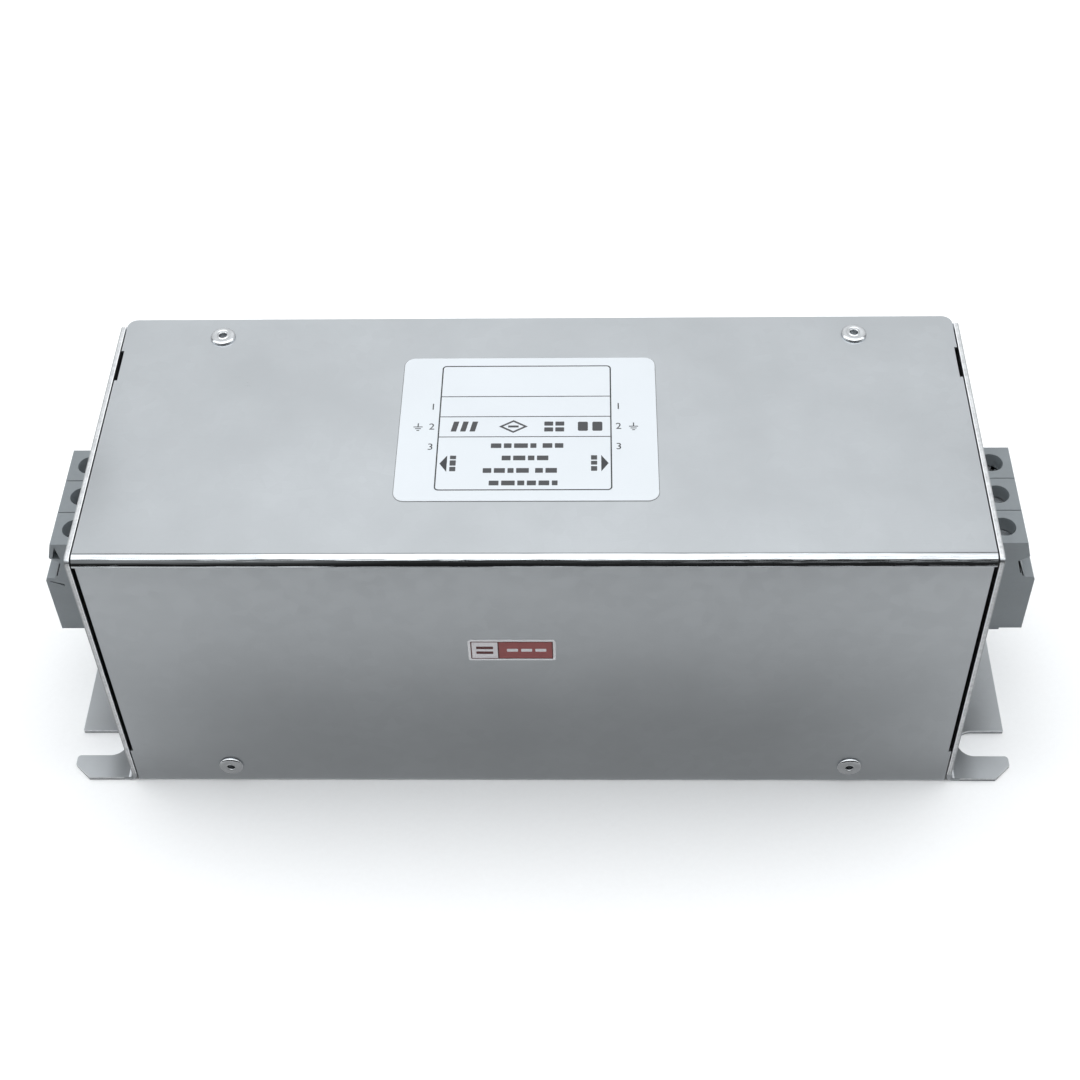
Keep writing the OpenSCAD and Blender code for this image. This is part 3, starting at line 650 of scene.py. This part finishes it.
def stud(end, sign):
    n = 56
    rows = [(-2.75, 0.001), (-2.75, 4.3), (-2.6, 4.5), (-1.4, 4.5), (-1.25, 4.3), (-1.25, 2.75), (-0.9, 2.75)]
    pitch, major, minor = 1.0, 2.98, 2.46

    def wave(u):
        def r(a):
            ph = (u / pitch - a / (2 * math.pi)) % 1.0
            v = abs(ph - 0.5) * 2
            v = min(1.0, max(0.0, (v - 0.12) / 0.78))
            run = min(1.0, max(0.0, (u + 0.9) / 0.6))
            tip = min(1.0, max(0.0, (14.0 - u) / 0.9))
            top = minor - 0.1 + (major - minor + 0.1) * tip
            return min(minor + (major - minor) * v * run, top)
        return r

    u = -0.8
    while u < 13.96:
        rows.append((u, wave(u)))
        u += 0.1
    rows += [(13.97, 2.32), (14.0, 2.2), (14.0, 0.001)]
    verts, faces = lathe_rows(rows, n, sign)
    return mesh_piece(f"earth_stud_{end}", verts, faces, stud_steel, "case", 50)


def nut(end, sign):
    n, af, h, u0 = 96, 10.0, 5.0, 1.2
    flat = af / 2

    def hexr(a):
        b = (a + math.pi / 6) % (math.pi / 3) - math.pi / 6
        return flat / math.cos(b)

    def cut(a):
        return max(0.0, (hexr(a) - flat * 0.985)) * math.tan(math.radians(30))

    verts, faces = [], []
    rings = [
        [(u0 + h * 1.0, 2.55)] * n,
        [(u0 + h - 0.02, 3.15)] * n,
        [(u0 + h, 3.3)] * n,
        [(u0 + h, flat * 0.95)] * n,
        [(u0 + h - cut(2 * math.pi * k / n) - 0.04, hexr(2 * math.pi * k / n)) for k in range(n)],
        [(u0 + cut(2 * math.pi * k / n) + 0.04, hexr(2 * math.pi * k / n)) for k in range(n)],
        [(u0, flat * 0.95)] * n,
        [(u0, 3.3)] * n,
        [(u0 + 0.35, 2.98)] * n,
        [(u0 + h - 0.35, 2.98)] * n,
    ]
    rings = rings[2:]
    rings.append(rings[0])
    for row in rings[:-1]:
        for k, (u, r) in enumerate(row):
            a = 2 * math.pi * k / n
            verts.append((sign * (L + u) * MM, r * math.cos(a) * MM, (24 + r * math.sin(a)) * MM))
    m = len(rings) - 1
    for j in range(m):
        j2 = (j + 1) % m
        for k in range(n):
            k2 = (k + 1) % n
            faces.append((j * n + k, j * n + k2, j2 * n + k2, j2 * n + k))
    return mesh_piece(f"earth_nut_{end}", verts, faces, stud_steel, "case", 28)


for end, sign in (("load", 1), ("line", -1)):
    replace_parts(stud(end, sign), "earth_studs")
    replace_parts(nut(end, sign), "earth_nuts")
soften("earth_washers", 0.15)


# ---------------------------------------------------------------- rivets

def rivet(name, place):
    """A blind rivet with a rolled head, a raised lip round its bore, and the upset end inside."""
    grip = 2.45
    head = [(0.95, 0.30), (0.97, 0.50), (1.02, 0.70), (1.10, 0.84), (1.20, 0.893), (1.30, 0.875), (1.38, 0.835), (1.46, 0.785),
            (1.55, 0.765), (1.68, 0.765), (1.80, 0.785), (1.95, 0.825), (2.08, 0.845), (2.30, 0.85), (2.5, 0.84)]
    head += [(2.55 + 0.75 * math.sin(math.radians(w)), 0.17 + 0.665 * math.cos(math.radians(w))) for w in range(14, 91, 11)]
    head += [(3.3, 0.15), (3.2, 0.06), (3.0, 0.0), (1.63, 0.0), (1.63, -grip), (2.15, -grip), (2.3, -grip - 0.15),
             (2.3, -grip - 2.2), (2.1, -grip - 2.4), (0.95, -grip - 2.4)]
    n = 72
    verts, faces = [], []
    for r, h in head:
        for k in range(n):
            a = 2 * math.pi * k / n
            verts.append(place(r * math.cos(a), r * math.sin(a), h))
    m = len(head)
    for j in range(m):
        j2 = (j + 1) % m
        for k in range(n):
            k2 = (k + 1) % n
            faces.append((j * n + k, j * n + k2, j2 * n + k2, j2 * n + k))
    return mesh_piece(name, verts, faces, rivet_steel, "case", 40)


RIVET_X, RIVET_Y, RIVET_Z = 82.4, 35.5, 7.0
for side, s in (("line", -1), ("load", 1)):
    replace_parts(rivet(f"top_rivet_{side}", lambda a, b, h: ((s * RIVET_X + a) * MM, (RIVET_Y + b) * MM, (H + h) * MM)),
                "cover_rivets")
    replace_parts(rivet(f"front_rivet_{side}", lambda a, b, h: ((s * RIVET_X + a) * MM, (-W - h) * MM, (RIVET_Z + b) * MM)),
                "cover_rivets")


# ---------------------------------------------------------------- studio

def stage_plane(name, corners, material):
    mesh = bpy.data.meshes.new(name)
    mesh.from_pydata(corners, [], [(0, 1, 2, 3)])
    mesh.materials.append(material)
    o = bpy.data.objects.new(name, mesh)
    bpy.context.scene.collection.objects.link(o)
    return o


ft = Tree("floor_paper")
fn = ft.noise(700, 3, 0.6)
floor_mat = ft.set(Base_Color=ft.mix(ft.ramp(fn, 0.3, 0.7), (0.93, 0.935, 0.94), (0.95, 0.955, 0.96)), Roughness=0.9,
                   Normal=ft.bump(fn, 0.00002, 0.3))
ft.bsdf.inputs["Specular IOR Level"].default_value = 0.1
ft.set(Emission_Color=(0.97, 0.985, 1.0), Emission_Strength=0.02)
stage_plane("floor", [(-4, -4, -2e-5), (4, -4, -2e-5), (4, 4, -2e-5), (-4, 4, -2e-5)], floor_mat)

def glow_card(name, corners, strength):
    """A card that only shows up in the metal's reflections."""
    t = Tree(name)
    t.set(Base_Color=(0.0, 0.0, 0.0), Roughness=1.0, Emission_Color=(0.975, 0.99, 1.0), Emission_Strength=strength(t))
    t.bsdf.inputs["Specular IOR Level"].default_value = 0.0
    o = stage_plane(name, corners, t.mat)
    o.visible_camera = False
    o.visible_diffuse = False
    o.visible_shadow = False
    o.visible_transmission = False
    return o


def near_floor(t):
    x, y, z = t.parts()
    # painted floor shadow: the card glows less close to the case front, so the metal reflects a shaded floor there
    d = t.math("MULTIPLY", t.math("ADD", y, 0.0425), -1000.0)
    w = t.ramp(t.math("ABSOLUTE", x), 0.030, 0.118)
    w = t.math("POWER", w, 3.0)
    mid = t.math("ADD", t.ramp(d, 23.5, 65, 0.293, 0.622, True), t.ramp(d, 60, 97, 0.0, 0.27))
    mid = t.math("ADD", mid, t.ramp(d, 3, 12, 0.008, 0.0))
    mid = t.math("MULTIPLY", mid, t.ramp(x, -0.04, 0.03, 1.03, 0.99))
    side = t.math("ADD", t.ramp(d, 3, 13, 0.37, 0.545), t.ramp(d, 13, 39, 0.0, -0.045))
    side = t.math("ADD", side, t.math("ADD", t.ramp(d, 39, 66, 0.0, 0.25), t.ramp(d, 66, 97, 0.0, 0.22)))
    return t.math("ADD", t.math("MULTIPLY", mid, t.math("SUBTRACT", 1.0, w)), t.math("MULTIPLY", side, w))


glow_card("floor_card", [(-0.5, -0.0429, 5e-5), (0.5, -0.0429, 5e-5), (0.5, -0.140, 5e-5), (-0.5, -0.140, 5e-5)], near_floor)


def dark_tone(t):
    x, y, z = t.parts()
    tone = t.ramp(t.noise(9, 2, 0.5), 0.3, 0.7, 0.8, 1.2)
    left = t.math("MULTIPLY", t.ramp(x, -0.17, -0.07, 0.22, 0.0), t.ramp(z, 0.06, 0.13))
    tone = t.math("MULTIPLY", tone, t.math("ADD", left, t.ramp(z, 0.06, 0.28, 0.016, 0.07)))
    strip = t.math("MULTIPLY", between(t, z, 0.134, 0.158), t.ramp(x, 0.0, 0.12, 0.03, 0.30))
    return t.math("ADD", tone, strip)


glow_card("dark_card", [(-0.9, -0.140, 0.001), (0.9, -0.140, 0.001), (0.9, -0.2383, 0.3076), (-0.9, -0.2383, 0.3076)], dark_tone)


def side_tone(t):
    x, y, z = t.parts()
    ax = t.math("ABSOLUTE", x)
    tone = t.ramp(t.noise(9, 2, 0.5), 0.3, 0.7, 0.94, 1.06)
    fall = t.math("ADD", t.ramp(z, 0.03, 0.10, 0.60, 0.47), t.ramp(z, 0.10, 0.15, 0.0, -0.27))
    far = t.math("MULTIPLY", t.ramp(ax, 0.17, 0.20, 0.0, 0.26), t.ramp(z, 0.10, 0.15))
    return t.math("MULTIPLY", tone, t.math("ADD", fall, far))


for s in (-1, 1):
    glow_card(f"side_card_{s}", [(s * 0.14, 0.07, 0.0), (s * 0.55, 0.07, 0.0), (s * 0.55, 0.07, 0.19), (s * 0.14, 0.07, 0.19)],
              side_tone)
    # painted shade: dim cards just under the terminal blocks, seen only in reflections, give the flanges a dark
    # reflection there
    glow_card(f"under_shade_card_{s}", [(s * 0.1105, -0.018, 0.0323), (s * 0.1275, -0.018, 0.0323), (s * 0.1275, 0.018, 0.0323),
                                  (s * 0.1105, 0.018, 0.0323)],
              lambda t: t.ramp(t.noise(90, 2, 0.5), 0.3, 0.7, 0.03, 0.05))

world = bpy.data.worlds.new("studio")
bpy.context.scene.world = world
world.use_nodes = True
wt = Tree.__new__(Tree)
wt.nt = world.node_tree
wt.nt.nodes.clear()
wt.coord = wt.nt.nodes.new("ShaderNodeTexCoord").outputs["Generated"]
wout = wt.nt.nodes.new("ShaderNodeOutputWorld")
bg_light = wt.nt.nodes.new("ShaderNodeBackground")
bg_seen = wt.nt.nodes.new("ShaderNodeBackground")
wmix = wt.nt.nodes.new("ShaderNodeMixShader")
path = wt.nt.nodes.new("ShaderNodeLightPath")


wx, wy, wz = wt.parts(wt.coord)
lean = wt.math("MULTIPLY", wt.math("ARCTAN2", wt.math("MULTIPLY", wy, -1.0), wz), 180 / math.pi)
rear = wt.ramp(lean, -90, -53, 0.52, 0.945)
box = wt.math("MULTIPLY", wt.ramp(lean, -33.5, -25, 0.0, 1.35, True), wt.ramp(lean, 38, 43, 1.0, 0.0, True))
seam = wt.ramp(wt.math("ABSOLUTE", wt.math("SUBTRACT", lean, 8.0)), 1.5, 3.2, 0.45, 1.0)
low = wt.ramp(lean, 40, 60, 1.0, 0.16, True)
across = wt.math("ADD", wt.ramp(wx, 0.02, 0.24, 1.0, 0.86), wt.ramp(wx, 0.24, 0.6, 0.0, -0.12))
across = wt.math("ADD", across, wt.math("ADD", wt.ramp(wx, -0.30, -0.06, -0.10, 0.0), wt.ramp(wx, -0.75, -0.30, -0.12, 0.0)))
total = wt.math("MULTIPLY", wt.math("MULTIPLY", wt.math("MULTIPLY", wt.math("ADD", rear, box), seam), low), across)
dim = wt.ramp(lean, 6, 30, 1.34, 0.2)
dim = wt.math("ADD", 1.0, wt.math("MULTIPLY", path.outputs["Is Diffuse Ray"], wt.math("SUBTRACT", dim, 1.0)))
total = wt.math("MULTIPLY", total, dim)
bg_light.inputs[0].default_value = (0.975, 0.99, 1.0, 1)
wt.nt.links.new(total, bg_light.inputs[1])
bg_seen.inputs[0].default_value = (0.97, 0.975, 0.98, 1)
bg_seen.inputs[1].default_value = 1.0
wt.nt.links.new(path.outputs["Is Camera Ray"], wmix.inputs[0])
wt.nt.links.new(bg_light.outputs[0], wmix.inputs[1])
wt.nt.links.new(bg_seen.outputs[0], wmix.inputs[2])
wt.nt.links.new(wmix.outputs[0], wout.inputs[0])

bpy.context.scene.view_settings.view_transform = "Standard"
bpy.context.scene.view_settings.look = "None"
